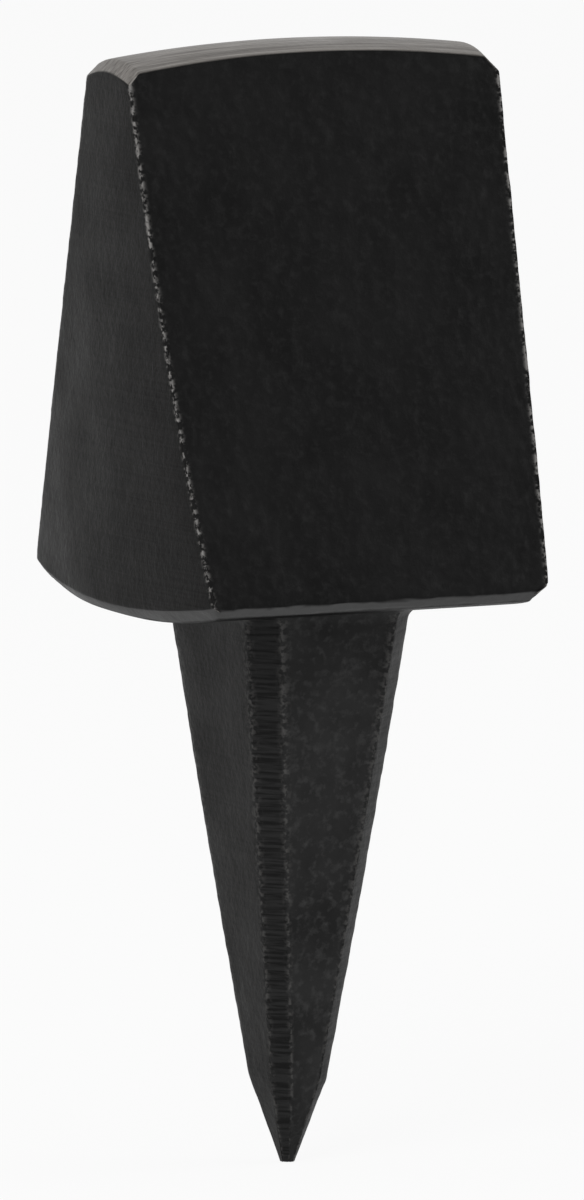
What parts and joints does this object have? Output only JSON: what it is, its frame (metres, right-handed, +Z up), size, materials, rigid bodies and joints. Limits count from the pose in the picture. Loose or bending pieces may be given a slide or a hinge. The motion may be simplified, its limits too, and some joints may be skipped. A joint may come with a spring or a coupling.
{
  "type": "scythe peening anvil",
  "caption": "Wedge-shaped forged steel anvil with a long, narrow, crowned peening face and a tapered spike that is driven into a wood block.",
  "frame": {"origin": "middle of the shoulder, the flat band under the head that sits on the wood block, where the spike leaves it", "axes": "+Z up through the peening face, +X along the peening face, -Y to the front"},
  "size_m": [0.0526, 0.054, 0.1449],
  "materials": {
    "head": "rough forged skin under thin black paint, with bare ground steel on the peening face",
    "spike": "rough forged skin under thin black paint"
  },
  "bodies": {
    "root": {"head": "head", "spike": "spike"}
  },
  "joints": []
}
